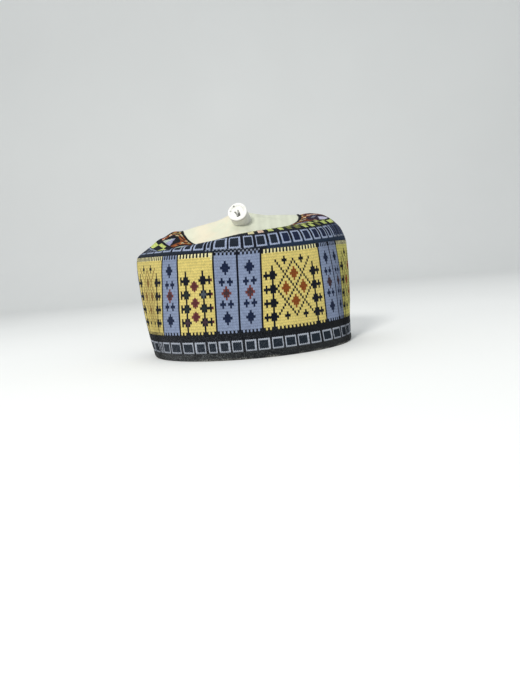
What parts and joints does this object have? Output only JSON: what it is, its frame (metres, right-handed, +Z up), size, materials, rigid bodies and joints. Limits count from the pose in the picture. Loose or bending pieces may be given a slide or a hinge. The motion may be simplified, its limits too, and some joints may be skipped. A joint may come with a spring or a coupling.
{
  "type": "knitted hausa cap",
  "caption": "Tall oval knitted cap with a turned rim hem, a patterned wall and crown ring, a bound crown opening filled with pale cloth, and a rolled cloth knob.",
  "frame": {"origin": "on the plane of the rim, under the middle of the cap's box", "axes": "+X to the front of the cap, +Y to the wearer's left, +Z up"},
  "size_m": [0.2148, 0.1668, 0.1451],
  "materials": {
    "charcoal_knit": "matt heathered knit",
    "patterned_knit": "matt two-colour knit",
    "crown_knit": "matt patterned knit",
    "black_binding": "matt yarn binding",
    "ivory_cloth": "matt plain cloth",
    "white_cloth": "smooth rolled cloth"
  },
  "bodies": {
    "root": {"rim_hem": "charcoal_knit", "side_wall": "patterned_knit", "crown_ring": "crown_knit", "crown_edge": "black_binding", "crown_cloth": "ivory_cloth", "top_knob": "white_cloth"}
  },
  "joints": []
}
